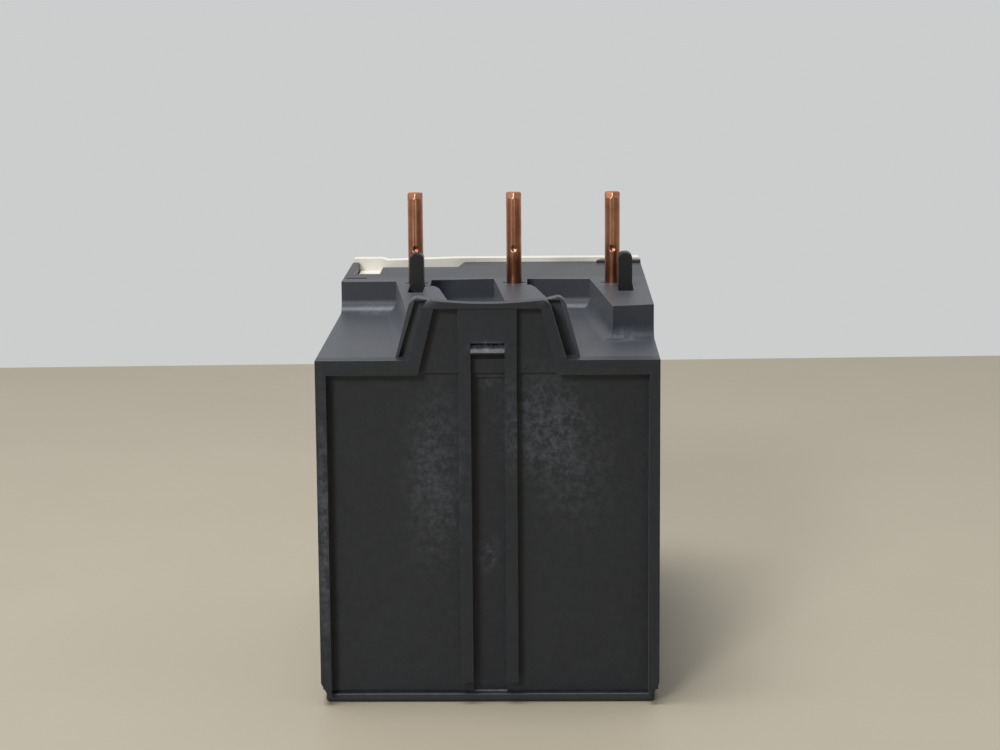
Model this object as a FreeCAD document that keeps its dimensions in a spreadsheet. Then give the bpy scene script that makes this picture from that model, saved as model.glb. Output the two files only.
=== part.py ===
import FreeCAD, Part
import math
import os
import re
import Sketcher

# Three-pole plug-on thermal overload relay, in millimetres.
# +Z is up, the operator's side faces -Y, the moulded back faces +Y.
# The origin is under the middle of the body, on the plane it stands on.

DIMENSIONS = [
    # Envelope
    ("width", 45.0, "across the body"),
    ("depth", 70.0, "front plate to back cover"),
    ("lower_deck", 46.6, "height of the low deck behind the lands"),
    ("upper_deck", 51.1, "height of the raised deck and lands"),
    ("body_foot", 1.4, "underside of case and back cover"),
    ("foot_inset", 0.55, "base plate stands in from the sides"),
    # Mouldings
    ("wall", 1.8, "outer walls"),
    ("partition", 1.5, "walls between the poles"),
    ("seam_rear", 32.2, "joint of back cover and case, along Y"),
    ("seam_front", -14.0, "joint of case and front housing, along Y"),
    ("chamber_front", -10.0, "front end of the pole chambers"),
    ("chamber_floor", 4.0, "floor of the pole chambers"),
    ("chamber_roof", 44.4, "roof of the pole chambers"),
    # Back cover
    ("rim", 1.4, "side rim of the back cover"),
    ("panel_floor", 32.6, "recessed panels, along Y"),
    ("hump_floor", 33.2, "shallower panel inside the hump"),
    ("channel_floor", 32.0, "channel between the ribs"),
    ("rib_face", 34.7, "outer face of ribs and top plate"),
    ("corner_cut", 3.1, "top of the bevel at the foot of the rim"),
    ("panel_head", 44.66, "upper edge of the wide panels"),
    ("hump_head", 54.55, "hump corners"),
    ("hump_valley", 54.03, "hump middle"),
    ("hump_foot", 10.3, "half width of the hump at the deck"),
    ("hump_top", 8.0, "half width of the hump at its corners"),
    ("valley_radius", 60.0, "hollow between the hump corners"),
    # Hump wall of the case
    ("arch_foot", 12.25, "half width at the deck"),
    ("arch_top", 10.05, "half width at its corners"),
    ("arch_thick", 2.2, "along Y"),
    ("arch_valley", 53.33, "middle of its top, out of sight behind the hump"),
    ("arch_hollow", 37.0, "radius of the hollow in its top"),
    # Poles and pins
    ("pole_pitch", 14.39, "from pole to pole"),
    ("pin_jog", -3.05, "pin row against pole row, along X"),
    ("pin_line", -7.7, "pin row, along Y"),
    ("pin_radius", 1.1, "round copper pin"),
    ("pin_neck", 0.9, "radius of the pins inside the deck"),
    ("pin_tip", 64.4, "top of the pins"),
    ("pin_root", 34.8, "lower end of the pins"),
    ("running", 0.05, "radial clearance of turning and sliding fits"),
    # Mounting tabs
    ("tab_width", 2.0, "along X"),
    ("tab_front", -5.65, "front face, along Y"),
    ("tab_thick", 2.55, "along Y"),
    ("tab_top", 56.0, "rounded head"),
    ("tab_pivot", 46.3, "height of the tab's round foot"),
    ("tab_pivot_line", -4.5, "round foot, along Y"),
    ("left_tab", 11.0, "middle of the left tab, along X"),
    ("right_tab", -19.2, "middle of the right tab, along X"),
    # Front housing
    ("front_plane", -35.0, "front of the ivory plate, along Y"),
    ("plate_back", -32.6, "back of the ivory plate, along Y"),
    ("shroud_front", -34.4, "front of the control row, along Y"),
    ("plate_foot", 30.2, "lower edge of the ivory plate"),
    ("shelf", 17.0, "height where the control row overhangs"),
    ("main_front", -26.0, "front of the main terminals, along Y"),
    ("mech_floor", 31.0, "floor of the mechanism chamber"),
    ("mech_roof", 46.0, "roof of the mechanism chamber"),
    ("mech_half", 20.7, "half width of the mechanism chamber"),
    # Main terminals
    ("main_screw_height", 9.6, "axis of the main terminal screws"),
    ("main_half", 5.4, "half width of a main terminal pocket"),
    ("main_plate_front", -18.2, "front of the terminal bar's upright"),
    ("bar_thick", 1.2, "terminal bar"),
    # Control terminals
    ("control_pitch", 10.3, "between control terminals"),
    ("control_screw_height", 23.4, "axis of the control screws"),
    ("control_half", 4.2, "half width of a control pocket"),
    ("control_plate_front", -26.0, "front of the control plates"),
]

NORMAL_SIGN = {"XY": 1, "XZ": -1, "YZ": 1}

doc = FreeCAD.newDocument("overload_relay")
sheet = doc.addObject("Spreadsheet::Sheet", "Dims")
for row, (alias, value, note) in enumerate(DIMENSIONS, start=1):
    sheet.set(f"A{row}", alias)
    sheet.set(f"B{row}", str(value))
    sheet.setAlias(f"B{row}", alias)
    sheet.set(f"C{row}", note)
doc.recompute()


def bound(expression):
    """Point the aliases in an expression at the sheet."""
    return re.sub(r"[a-z][a-z_]+", lambda word: "Dims." + word.group(0), str(expression))


def negative(expression):
    """The same expression with its sign turned."""
    return f"-({expression})"


def mirrored(half):
    """Close a left-right symmetrical outline from its right half, given from bottom to top."""
    return list(half) + [(negative(x), y) for x, y in reversed(half)]


def rectangle(x_low, x_high, y_low, y_high):
    return [(x_low, y_low), (x_high, y_low), (x_high, y_high), (x_low, y_high)]


class Piece:
    """One sub-part: a PartDesign body whose sketches are bound to the sheet."""

    def __init__(self, label, at=("0", "0", "0")):
        self.body = doc.addObject("PartDesign::Body", label)
        self.body.Label = label
        for axis, expression in zip("xyz", at):
            self.body.setExpression(f"Placement.Base.{axis}", bound(expression))
        PIECES.append(self.body)

    def sketch(self, plane, level):
        """An empty sketch parallel to an origin plane, at a level along that plane's own row axis."""
        sketch = self.body.newObject("Sketcher::SketchObject", f"{self.body.Label}_{plane}")
        for feature in self.body.Origin.OriginFeatures:
            if feature.Role == f"{plane}_Plane":
                sketch.AttachmentSupport = [(feature, "")]
        sketch.MapMode = "FlatFace"
        sign = "" if NORMAL_SIGN[plane] > 0 else "-"
        sketch.setExpression("AttachmentOffset.Base.z", bound(f"{sign}({level})"))
        return sketch

    def _pin_point(self, sketch, geometry, end, x, y):
        """Hold one point of a sketch at two expressions."""
        for kind, expression in (("DistanceX", x), ("DistanceY", y)):
            index = sketch.addConstraint(Sketcher.Constraint(kind, -1, 1, geometry, end, 1.0))
            sketch.setExpression(f"Constraints[{index}]", bound(expression))

    def _polygon(self, sketch, points):
        """Closed outline through points given as pairs of expressions."""
        count = len(points)
        first = sketch.GeometryCount
        for index in range(count):
            angle = 2 * math.pi * index / count
            after = 2 * math.pi * (index + 1) / count
            start = FreeCAD.Vector(30 * math.cos(angle), 30 * math.sin(angle), 0)
            end = FreeCAD.Vector(30 * math.cos(after), 30 * math.sin(after), 0)
            sketch.addGeometry(Part.LineSegment(start, end), False)
        for index in range(count):
            following = first + (index + 1) % count
            sketch.addConstraint(Sketcher.Constraint("Coincident", first + index, 2, following, 1))
        for index, point in enumerate(points):
            self._pin_point(sketch, first + index, 1, point[0], point[1])

    def _circle(self, sketch, x, y, radius):
        circle = Part.Circle(FreeCAD.Vector(0, 0, 0), FreeCAD.Vector(0, 0, 1), 1.0)
        index = sketch.addGeometry(circle, False)
        self._pin_point(sketch, index, 3, x, y)
        size = sketch.addConstraint(Sketcher.Constraint("Radius", index, 1.0))
        sketch.setExpression(f"Constraints[{size}]", bound(radius))

    def _draw(self, plane, level, outlines, circles):
        sketch = self.sketch(plane, level)
        for points in outlines:
            self._polygon(sketch, points)
        for x, y, radius in circles:
            self._circle(sketch, x, y, radius)
        return sketch

    def _extrude(self, kind, plane, level, length, toward, outlines, circles, natural):
        sketch = self._draw(plane, level, outlines, circles)
        feature = self.body.newObject(f"PartDesign::{kind}", f"{self.body.Label}_{kind}")
        feature.Profile = sketch
        feature.setExpression("Length", bound(length))
        feature.Reversed = (toward != natural)
        return feature

    def pad(self, plane, level, length, toward, outlines=(), circles=()):
        """Add a prism from a level, toward +1 or -1 along the plane's row axis."""
        natural = NORMAL_SIGN[plane]
        feature = self._extrude("Pad", plane, level, length, toward, outlines, circles, natural)
        doc.recompute()
        return feature

    def cut(self, plane, level, length, toward, outlines=(), circles=()):
        """Remove a prism from a level, toward +1 or -1, and make sure that it removes something."""
        before = self.body.Shape.Volume
        natural = -NORMAL_SIGN[plane]
        feature = self._extrude("Pocket", plane, level, length, toward, outlines, circles, natural)
        doc.recompute()
        if self.body.Shape.Volume > before - 1e-6:
            raise RuntimeError(f"{self.body.Label}: {feature.Name} cuts nothing")
        return feature

    def revolve(self, plane, points, axis="H_Axis"):
        """Turn a half outline about the sketch's own axis."""
        sketch = self._draw(plane, "0", [points], ())
        feature = self.body.newObject("PartDesign::Revolution", f"{self.body.Label}_turned")
        feature.Profile = sketch
        feature.ReferenceAxis = (sketch, [axis])
        feature.Angle = 360.0
        doc.recompute()
        return feature

    def dress(self, kind, size, chosen):
        """Fillet or chamfer every edge that chosen(edge) accepts."""
        tip = self.body.Tip
        names = [f"Edge{index}" for index, edge in enumerate(tip.Shape.Edges, start=1) if chosen(edge)]
        if not names:
            raise RuntimeError(f"{self.body.Label}: no edge for {kind}")
        feature = self.body.newObject(f"PartDesign::{kind}", f"{self.body.Label}_{kind}")
        feature.Base = (tip, names)
        feature.setExpression("Radius" if kind == "Fillet" else "Size", bound(size))
        doc.recompute()
        return feature


PIECES = []


def along(edge, axis):
    """True for a straight edge parallel to a row axis."""
    if len(edge.Vertexes) != 2 or edge.Curve.TypeId != "Part::GeomLine":
        return False
    step = edge.Vertexes[1].Point - edge.Vertexes[0].Point
    others = [value for name, value in zip("xyz", step) if name != axis]
    return max(abs(value) for value in others) < 1e-6


def middle(edge):
    return edge.CenterOfMass


def hump_corner(half_width):
    """Chooser for the two hump edges along Y at a half width."""
    def chosen(edge):
        place = middle(edge)
        return along(edge, "y") and abs(abs(place.x) - half_width) < 0.2 and place.z > 54.0
    return chosen


def hollow_hump(piece, level, length, valley, radius):
    """Sink the top of a hump to a shallow valley of a radius."""
    piece.cut("XZ", level, length, -1, circles=[("0", f"{valley} + {radius}", radius)])


def rear_cover():
    """Back cover: rim and hump, two recessed panels, two ribs with a top plate, and a catch."""
    piece = Piece("rear_cover")
    outline = mirrored([
        ("width/2 - 0.9", "body_foot"),
        ("width/2", "corner_cut"),
        ("width/2", "lower_deck"),
        ("hump_foot", "lower_deck"),
        ("hump_top", "hump_head"),
    ])
    piece.pad("XZ", "depth/2", "depth/2 - seam_rear", -1, [outline])
    piece.dress("Fillet", "1.5", hump_corner(8.0))
    hollow_hump(piece, "depth/2 + 1", "6", "hump_valley", "valley_radius")
    piece.cut("XZ", "seam_rear", "0.8", 1, [rectangle("-9.5", "9.5", "53.7", "55")])
    panel = rectangle("rim - width/2", "width/2 - rim", "body_foot - 0.5", "panel_head")
    piece.cut("XZ", "depth/2", "depth/2 - panel_floor", -1, [panel])
    inner = mirrored([("9.17", "panel_head - 0.3"), ("6.95", "hump_head - 1.17")])
    piece.cut("XZ", "depth/2", "depth/2 - hump_floor", -1, [inner])
    spigot = rectangle("-20.5", "20.5", "chamber_floor + 0.2", "chamber_roof - 0.2")
    piece.pad("XZ", "seam_rear + 0.1", "1.6", -1, [spigot])
    key = rectangle("-3", "3", "body_foot", "chamber_floor + 0.3")
    piece.pad("XZ", "seam_rear + 0.1", "1.1", -1, [key])
    for x_low, x_high in (("-3.8", "-2.25"), ("2.2", "3.8")):
        rib = rectangle(x_low, x_high, "corner_cut", "49")
        piece.pad("XZ", "panel_floor - 0.1", "rib_face - panel_floor + 0.1", 1, [rib])
    top_plate = rectangle("-3.85", "3.85", "48.8", "hump_head - 1.15")
    piece.pad("XZ", "panel_floor - 0.1", "rib_face - panel_floor + 0.1", 1, [top_plate])
    channel = rectangle("-2.25", "2.2", "body_foot - 0.5", "44")
    piece.cut("XZ", "panel_floor", "panel_floor - channel_floor", -1, [channel])
    catch = [
        ("hump_floor - 0.2", "48.85"),
        ("33.9", "48.75"),
        ("depth/2 - 0.05", "47.6"),
        ("depth/2 - 0.05", "47.45"),
        ("hump_floor - 0.2", "46.4"),
    ]
    piece.pad("YZ", "-2.25", "4.45", 1, [catch])
    return piece


# Raised deck with its three lands, seen from above, from the left front corner round the back.
# Between the lands lie two pockets that open towards the hump.
DECK = [
    ("width/2", "seam_front"),
    ("width/2", "-9.5"),
    ("14.4", "-9.5"),
    ("10.2", "30.3"),
    ("4.0", "30.3"),
    ("6.2", "9.5"),
    ("7.75", "-2.0"),
    ("8.6", "-4.5"),
    ("9.2", "-4.6"),
    ("9.2", "-11.0"),
    ("0.0", "-12.1"),
    ("-2.0", "12.0"),
    ("-3.7", "30.3"),
    ("-10.0", "30.3"),
    ("-7.6", "7.0"),
    ("-6.2", "-2.7"),
    ("-5.5", "-5.3"),
    ("-4.95", "-5.4"),
    ("-4.95", "-11.9"),
    ("-14.25", "-11.4"),
    ("-16.8", "17.2"),
    ("-width/2", "15.6"),
    ("-width/2", "seam_front"),
]

POLES = (-1, 0, 1)


def pole_x(pole):
    return f"{pole}*pole_pitch"


def pin_x(pole):
    return f"{pole}*pole_pitch + pin_jog"


def case():
    """Main moulding: stepped deck, hump wall, and three pole chambers open to the back."""
    piece = Piece("case")
    block = rectangle("-width/2", "width/2", "body_foot", "lower_deck")
    piece.pad("XZ", "seam_rear", "seam_rear - seam_front", -1, [block])
    piece.pad("XY", "lower_deck", "upper_deck - lower_deck", 1, [DECK])

    def scoop(edge):
        place = middle(edge)
        inside = abs(place.x) < 22.4 and -13.0 < place.y < 29.5
        return inside and abs(place.z - 46.6) < 1e-4 and len(edge.Vertexes) == 2
    piece.dress("Fillet", "1.9", scoop)

    arch = mirrored([("arch_foot", "lower_deck - 0.5"), ("arch_top", "hump_head")])
    piece.pad("XZ", "seam_rear", "arch_thick", -1, [arch])
    piece.dress("Fillet", "1.5", hump_corner(10.05))
    hollow_hump(piece, "seam_rear + 1", "arch_thick + 1.05", "arch_valley", "arch_hollow")
    hollow = mirrored([("arch_foot - 0.5", "lower_deck"), ("arch_top - 0.55", "hump_head - 0.45")])
    piece.cut("XZ", "seam_rear", "1.3", -1, [hollow])

    seat = rectangle("-20.7", "20.7", "chamber_floor", "chamber_roof")
    piece.cut("XZ", "seam_rear", "1.8", -1, [seat])
    keyway = rectangle("-3.2", "3.2", "body_foot - 0.1", "chamber_floor + 0.1")
    piece.cut("XZ", "seam_rear", "1.2", -1, [keyway])
    half = "(pole_pitch - partition)/2"
    inner = "(pole_pitch + partition)/2"
    chambers = [
        rectangle("-mech_half", negative(inner), "chamber_floor", "chamber_roof"),
        rectangle(negative(half), half, "chamber_floor", "chamber_roof"),
        rectangle(inner, "mech_half", "chamber_floor", "chamber_roof"),
    ]
    piece.cut("XZ", "seam_rear", "seam_rear - chamber_front", -1, chambers)
    slide_gate = rectangle("0.6", "5.8", "37.7", "chamber_roof")
    piece.cut("YZ", "-8.2", "16.4", 1, [slide_gate])

    bar_slots = []
    for pole in POLES:
        low, high = f"{pole_x(pole)} - 3.1", f"{pole_x(pole)} + 3.1"
        bar_slots.append(rectangle(low, high, "chamber_floor", "chamber_floor + bar_thick + 0.1"))
    trip_window = rectangle("14.3", "19.4", "37.7", "40.7")
    wall_length = "chamber_front - seam_front"
    piece.cut("XZ", "chamber_front", wall_length, -1, bar_slots + [trip_window])

    pin_holes = [(pin_x(pole), "pin_line", "pin_radius + running") for pole in POLES]
    deck_thickness = "upper_deck - chamber_roof"
    piece.cut("XY", "upper_deck", deck_thickness, -1, circles=pin_holes)
    for pole in POLES:
        wing = rectangle(f"{pin_x(pole)} - 1.7", f"{pin_x(pole)} + 1.7", "pin_line - 0.4", "pin_line + 0.4")
        piece.cut("XY", "upper_deck", deck_thickness, -1, [wing])

    tab_slots = [
        rectangle("left_tab - 1.1", "left_tab + 1.1", "tab_front - 0.2", "2.5"),
        rectangle("right_tab - 1.1", "right_tab + 1.1", "tab_front - 0.2", "1.7"),
    ]
    piece.cut("XY", "upper_deck", "upper_deck - 45.2", -1, tab_slots)
    seam_slot = rectangle("19", "22.2", "seam_front", "seam_front + 0.9")
    piece.cut("XY", "upper_deck", "1.5", -1, [seam_slot])
    return piece


def bottom_plate():
    """Base strip that closes the case from below."""
    piece = Piece("bottom_plate")
    half = "width/2 - foot_inset"
    outline = rectangle(negative(half), half, "seam_front + 0.1", "panel_floor + 0.8")
    piece.pad("XY", "0", "body_foot", 1, [outline])
    piece.dress("Fillet", "0.5", lambda edge: middle(edge).z < 0.01)
    gap = rectangle(negative(half), half, "seam_rear + 0.1", "depth/2")
    piece.cut("XY", "body_foot", "0.2", -1, [gap])
    return piece


MAIN_POCKET_FRONT = "main_front + 1.4"
MAIN_POCKET_HEAD = "15.5"
CONTROL_ROW = (-1.5, -0.5, 0.5, 1.5)


def control_x(place):
    return f"{place}*control_pitch"


BUTTONS = {"stop_button": ("7.0", "36.6"), "reset_button": ("16.0", "36.6")}
DIAL_PLACE = ("-12.0", "40.0")
TEST_PLACE = ("-2.0", "44.0")
SELECTOR_PLACE = ("-2.0", "37.5")


def front_housing():
    """Front moulding: terminal pockets below, mechanism chamber above, notch in its deck."""
    piece = Piece("front_housing")
    profile = [
        ("seam_front", "0"),
        ("main_front", "0"),
        ("main_front", "shelf"),
        ("shroud_front", "shelf"),
        ("shroud_front", "plate_foot - 0.1"),
        ("plate_back", "plate_foot - 0.1"),
        ("plate_back", "upper_deck"),
        ("seam_front", "upper_deck"),
    ]
    piece.pad("YZ", "-width/2", "width", 1, [profile])
    notch = [("5.8", "-26.5"), ("21.5", "-26.5"), ("21.5", "plate_back - 0.1"), ("5.0", "plate_back - 0.1")]
    piece.cut("XY", "upper_deck", "2.6", -1, [notch])
    tongue_seat = rectangle("17.4", "21.5", "-26.6", "-18.5")
    piece.cut("XY", "upper_deck", "2.6", -1, [tongue_seat])
    corner = [
        ("-width/2", "plate_back"),
        ("-16.2", "plate_back"),
        ("-15.6", "-30.4"),
        ("-width/2", "-30.4"),
    ]
    piece.pad("XY", "upper_deck", "0.4", 1, [corner])

    chamber = rectangle("-mech_half", "mech_half", "mech_floor", "mech_roof")
    piece.cut("XZ", "plate_back", "seam_front - plate_back", 1, [chamber])
    guide_wall = rectangle("-mech_half - 0.1", "mech_half + 0.1", "mech_floor - 0.1", "39.5")
    piece.pad("XZ", "-26.6", "1.0", -1, [guide_wall])
    dial_wall = rectangle("-18.0", "0.5", "39.4", "mech_roof + 0.1")
    piece.pad("XZ", "-26.6", "1.0", -1, [dial_wall])
    bores = [(x, z, "1.25") for x, z in BUTTONS.values()]
    bores.append((DIAL_PLACE[0], DIAL_PLACE[1], "2.0 + running"))
    bores.append((TEST_PLACE[0], TEST_PLACE[1], "0.8 + running"))
    bores.append((SELECTOR_PLACE[0], SELECTOR_PLACE[1], "1.0 + running"))
    piece.cut("XZ", "-26.6", "1.0", -1, circles=bores)
    ledges = [rectangle("-19.6", "-17.2", "-26.2", "-19.0"), rectangle("17.2", "19.6", "-26.2", "-19.0")]
    piece.pad("XY", "mech_floor - 0.1", "5.0", 1, ledges)
    piece.cut("XY", "mech_roof", "1.5", 1, circles=[("17.5", "-19.5", "0.8")])

    pockets = []
    plate_slots = []
    for place in CONTROL_ROW:
        x = control_x(place)
        pockets.append(rectangle(f"{x} - control_half", f"{x} + control_half", "-33.0", "control_plate_front"))
        plate_slots.append(
            rectangle(f"{x} - 3.1", f"{x} + 3.1", "control_plate_front - 0.1", "control_plate_front + 0.8"))
    piece.cut("XY", "shelf", "10.6", 1, pockets)
    piece.cut("XY", "shelf + 1.5", "mech_floor - shelf - 3.0", 1, plate_slots)
    tongue_slots = []
    for place in CONTROL_ROW:
        x = control_x(place)
        tongue_slots.append(
            rectangle(f"{x} - 1.5", f"{x} + 1.5", "control_plate_front", "control_plate_front + 0.8"))
    piece.cut("XY", "mech_floor", "2.0", -1, tongue_slots)
    shank_holes = [(control_x(place), "control_screw_height", "1.5") for place in CONTROL_ROW]
    piece.cut("XZ", "control_plate_front + 0.8", "2.4", 1, circles=shank_holes)
    driver_holes = [(control_x(place), "control_screw_height", "2.9") for place in CONTROL_ROW]
    piece.cut("XZ", "shroud_front", "1.5", 1, circles=driver_holes)

    mains = []
    uprights = []
    bar_slots = []
    for pole in POLES:
        x = pole_x(pole)
        mains.append(rectangle(f"{x} - main_half", f"{x} + main_half", MAIN_POCKET_FRONT, "main_plate_front"))
        uprights.append(rectangle(f"{x} - 4.5", f"{x} + 4.5", "chamber_floor", "15.2"))
        bar_slots.append(
            rectangle(f"{x} - 3.1", f"{x} + 3.1", "chamber_floor", "chamber_floor + bar_thick + 0.1"))
    piece.cut("XY", "0", MAIN_POCKET_HEAD, 1, mains)
    piece.cut("XZ", "main_plate_front - 0.1", "bar_thick + 0.1", 1, uprights)
    piece.cut("XZ", "main_plate_front + bar_thick - 0.1", "3.2", 1, bar_slots)
    shanks = [(pole_x(pole), "main_screw_height", "2.05") for pole in POLES]
    piece.cut("XZ", "main_plate_front + bar_thick - 0.1", "2.9", 1, circles=shanks)
    drivers = [(pole_x(pole), "main_screw_height", "3.4") for pole in POLES]
    piece.cut("XZ", "main_front", "1.5", 1, circles=drivers)
    return piece


COVER_WELL = ("-20.8", "1.8", "32.4", "50.6")
HINGE_Y = "-34.35"
HINGE_Z = "49.7"


def faceplate():
    """Ivory front plate: well for the window cover, button holes, trip window and a rear tongue."""
    piece = Piece("faceplate")
    outline = [
        ("-width/2 + 0.2", "plate_foot"),
        ("width/2 - 0.2", "plate_foot"),
        ("width/2 - 0.2", "51.7"),
        ("18.0", "51.7"),
        ("17.0", "51.4"),
        ("6.5", "51.7"),
        ("-width/2 + 0.2", "51.75"),
    ]
    piece.pad("XZ", "plate_back", "plate_back - front_plane", -1, [outline])
    piece.cut("XZ", "front_plane", "1.3", 1, [rectangle(*COVER_WELL)])
    for x, z in BUTTONS.values():
        piece.cut("XZ", "front_plane", "3", 1, circles=[(x, z, "3.3")])
    holes = [
        (DIAL_PLACE[0], DIAL_PLACE[1], "5.1"),
        (TEST_PLACE[0], TEST_PLACE[1], "1.4"),
        (SELECTOR_PLACE[0], SELECTOR_PLACE[1], "2.5"),
    ]
    piece.cut("XZ", "front_plane", "3", 1, circles=holes)
    trip_window = rectangle("9.6", "12.6", "43.5", "45.3")
    piece.cut("XZ", "front_plane", "3", 1, [trip_window])
    hinge_bore = [(HINGE_Y, HINGE_Z, "0.3")]
    piece.cut("YZ", "-21.8", "1.1", 1, circles=hinge_bore)
    piece.cut("YZ", "2.8", "1.1", -1, circles=hinge_bore)
    tongue = rectangle("17.6", "21.3", "plate_back - 0.1", "-18.7")
    piece.pad("XY", "upper_deck - 2.5", "1.2", 1, [tongue])
    return piece


def contact_pin(pole):
    """Round copper pin on a neck, with wings that seat in the deck's cross slot and a flat lug below."""
    piece = Piece(f"contact_pin_{pole + 2}", at=(pin_x(pole), "pin_line", "0"))
    outline = [
        ("0", "chamber_roof - 0.2"),
        ("pin_neck", "chamber_roof - 0.2"),
        ("pin_neck", "upper_deck"),
        ("pin_radius", "upper_deck"),
        ("pin_radius", "pin_tip - 0.25"),
        ("pin_radius - 0.25", "pin_tip"),
        ("0", "pin_tip"),
    ]
    piece.revolve("XZ", outline, axis="V_Axis")
    wings = rectangle("-1.6", "1.6", "-0.3", "0.3")
    piece.pad("XY", "45", "5.2", 1, [wings])
    lug = rectangle("0.05 - pin_radius", "pin_radius - 0.05", "-0.8", "0.8")
    piece.pad("XY", "pin_root", "chamber_roof - 0.1 - pin_root", 1, [lug])
    return piece


def mounting_tab(label, x):
    """Upright tab with a rounded head and a round foot that lets it spring back."""
    piece = Piece(label, at=(x, "0", "0"))
    blade = rectangle("tab_front", "tab_front + tab_thick", "tab_pivot", "tab_top")
    piece.pad("YZ", "-tab_width/2", "tab_width", 1, [blade])
    piece.dress("Fillet", "0.85", lambda edge: along(edge, "y") and middle(edge).z > 55)
    foot = [("tab_pivot_line", "tab_pivot", "0.9")]
    piece.pad("YZ", "-tab_width/2", "tab_width", 1, circles=foot)
    return piece


def pole_parts(pole):
    """What one pole holds: strap, bimetal, heater winding and terminal bar."""
    number = pole + 2
    place = (pole_x(pole), "0", "0")

    strap = Piece(f"pole_strap_{number}", at=place)
    side = rectangle("pin_line - pin_radius", "12", "34.8", "37.6")
    strap.pad("YZ", "pin_jog + pin_radius - 0.05", "0.6", 1, [side])

    bimetal = Piece(f"bimetal_{number}", at=place)
    bimetal.pad("YZ", "-0.4", "0.8", 1, [rectangle("9", "15", "6", "40")])

    heater = Piece(f"heater_{number}", at=place)
    sleeve = rectangle("-0.9", "0.9", "8.5", "15.5")
    core = rectangle("-0.4", "0.4", "9", "15")
    heater.pad("XY", "13", "20", 1, [sleeve, core])
    turn = heater.pad("XY", "14", "0.8", 1, [rectangle("-1.3", "1.3", "8.1", "15.9"), core])
    turns = heater.body.newObject("PartDesign::LinearPattern", f"turns_{number}")
    turns.Originals = [turn]
    turns.Direction = (turn.Profile[0], ["N_Axis"])
    turns.Length = 16.8
    turns.Occurrences = 8
    heater.body.Tip = turns
    doc.recompute()
    heater.pad("YZ", "-1.3", "0.5", 1, [rectangle("9.2", "11", "30.9", "37.4")])
    heater.pad("YZ", "-1.35", "0.6", 1, [rectangle("10", "12", "12", "14.2")])

    bar = Piece(f"terminal_bar_{number}", at=place)
    run = rectangle("-3", "3", "main_plate_front", "15")
    bar.pad("XY", "chamber_floor", "bar_thick", 1, [run])
    upright = rectangle("-4.4", "4.4", "chamber_floor", "15")
    bar.pad("XZ", "main_plate_front", "bar_thick", 1, [upright])
    bar.pad("YZ", "-1.6", "1.2", 1, [rectangle("9", "15", "chamber_floor", "12")])
    bar.cut("XZ", "main_plate_front - 0.1", "bar_thick + 0.1", 1,
            circles=[("0", "main_screw_height", "1.7 + running")])


def clamp_and_screw(kind, number, x, height, plate_front, sizes):
    """Clamping plate and its screw, both drawn on the screw's own axis."""
    plate = Piece(f"{kind}_clamp_{number}", at=(x, "0", height))
    half = sizes["clamp_half"]
    outline = rectangle(negative(half), half, negative(sizes["below"]), sizes["above"])
    gap = "0.3"
    plate.pad("XZ", f"{plate_front} - {gap}", sizes["clamp_thick"], -1, [outline])
    plate.cut("XZ", f"{plate_front} - {gap}", sizes["clamp_thick"], -1,
              circles=[("0", "0", f"{sizes['shank']} + running")])

    screw = Piece(f"{kind}_screw_{number}", at=(x, "0", height))
    seat = f"{plate_front} - {gap} - {sizes['clamp_thick']} - 0.05"
    top = f"{seat} - {sizes['head_thick']}"
    screw.revolve("YZ", [
        (top, "0"),
        (top, f"{sizes['head']} - 0.3"),
        (f"{top} + 0.3", sizes["head"]),
        (seat, sizes["head"]),
        (seat, sizes["shank"]),
        (sizes["shank_end"], sizes["shank"]),
        (sizes["shank_end"], "0"),
    ])
    slot = rectangle(negative(sizes["head"]), sizes["head"], "-0.45", "0.45")
    screw.cut("XZ", top, sizes["slot_depth"], 1, [slot])
    cross = rectangle("-0.4", "0.4", negative(sizes["cross"]), sizes["cross"])
    screw.cut("XZ", top, sizes["slot_depth"], 1, [cross])


MAIN_SIZES = {
    "clamp_half": "4.6", "below": "4.9", "above": "5.0", "clamp_thick": "1.2",
    "head": "3.2", "head_thick": "2.2", "shank": "1.7", "shank_end": "-14.6",
    "slot_depth": "1.2", "cross": "1.9",
}
CONTROL_SIZES = {
    "clamp_half": "3.4", "below": "3.3", "above": "3.3", "clamp_thick": "0.9",
    "head": "2.4", "head_thick": "1.7", "shank": "1.2", "shank_end": "-23.4",
    "slot_depth": "0.9", "cross": "1.4",
}


def control_plate(number, place):
    """Contact plate of an auxiliary terminal; the normally open pair reaches behind the bridge."""
    piece = Piece(f"control_plate_{number}", at=(control_x(place), "0", "0"))
    front = "control_plate_front"
    piece.pad("XZ", front, "0.8", 1, [rectangle("-3", "3", "shelf + 1.6", "28")])
    normally_open = place < 0
    if normally_open:
        piece.pad("XZ", front, "0.8", 1, [rectangle("-1.4", "1.4", "27.9", "31.8")])
        piece.pad("XY", "mech_floor", "0.8", 1, [rectangle("-1.4", "1.4", front, "-20.1")])
        piece.pad("XZ", "-20.9", "0.8", 1, [rectangle("-1.4", "1.4", "mech_floor", "35.2")])
        piece.pad("XZ", "-20.9", "0.5", -1, circles=[("0", "34", "0.9")])
    else:
        piece.pad("XZ", front, "0.8", 1, [rectangle("-1.4", "1.4", "27.9", "35.2")])
        piece.pad("XZ", f"{front} + 0.8", "0.5", 1, circles=[("0", "34", "0.9")])
    piece.cut("XZ", front, "0.8", 1, circles=[("0", "control_screw_height", "1.2 + running")])


def contact_bridge(label, places, rivet_level, rivet_toward):
    """Moving strip with a contact rivet over each of its two plates."""
    piece = Piece(label)
    strip = rectangle(f"{control_x(places[0])} - 1.4", f"{control_x(places[1])} + 1.4", "32.8", "35.2")
    piece.pad("XZ", "-24.25", "0.4", 1, [strip])
    rivets = [(control_x(place), "34", "0.9") for place in places]
    piece.pad("XZ", rivet_level, "0.4", rivet_toward, circles=rivets)


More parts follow.
